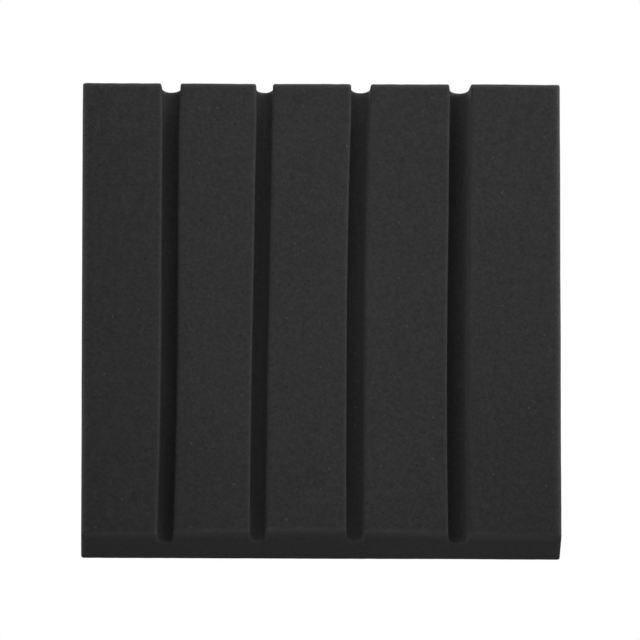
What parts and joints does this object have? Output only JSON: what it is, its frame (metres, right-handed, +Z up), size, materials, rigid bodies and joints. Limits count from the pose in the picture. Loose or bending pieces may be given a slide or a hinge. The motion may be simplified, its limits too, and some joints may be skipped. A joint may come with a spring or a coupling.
{
  "type": "acoustic foam panel",
  "caption": "Square sound-absorbing foam tile with round-bottomed grooves down its front and peel-off adhesive mounting tabs on its back.",
  "frame": {"origin": "middle of the wall side: the centre of the outer face of the middle tab's release liner", "axes": "+Z up along the grooves as hung, -Y out of the grooved front into the room, +Y towards the wall, +X to the right seen from the front"},
  "size_m": [0.3048, 0.052, 0.3048],
  "materials": {
    "charcoal_foam": "matte",
    "foam_tape": "matte",
    "liner_paper": "satin"
  },
  "bodies": {
    "root": {"foam_panel": "charcoal_foam", "mounting_tab_middle": "foam_tape", "release_liner_middle": "liner_paper", "mounting_tab_top_left": "foam_tape", "release_liner_top_left": "liner_paper", "mounting_tab_top_right": "foam_tape", "release_liner_top_right": "liner_paper", "mounting_tab_bottom_left": "foam_tape", "release_liner_bottom_left": "liner_paper", "mounting_tab_bottom_right": "foam_tape", "release_liner_bottom_right": "liner_paper"}
  },
  "joints": []
}
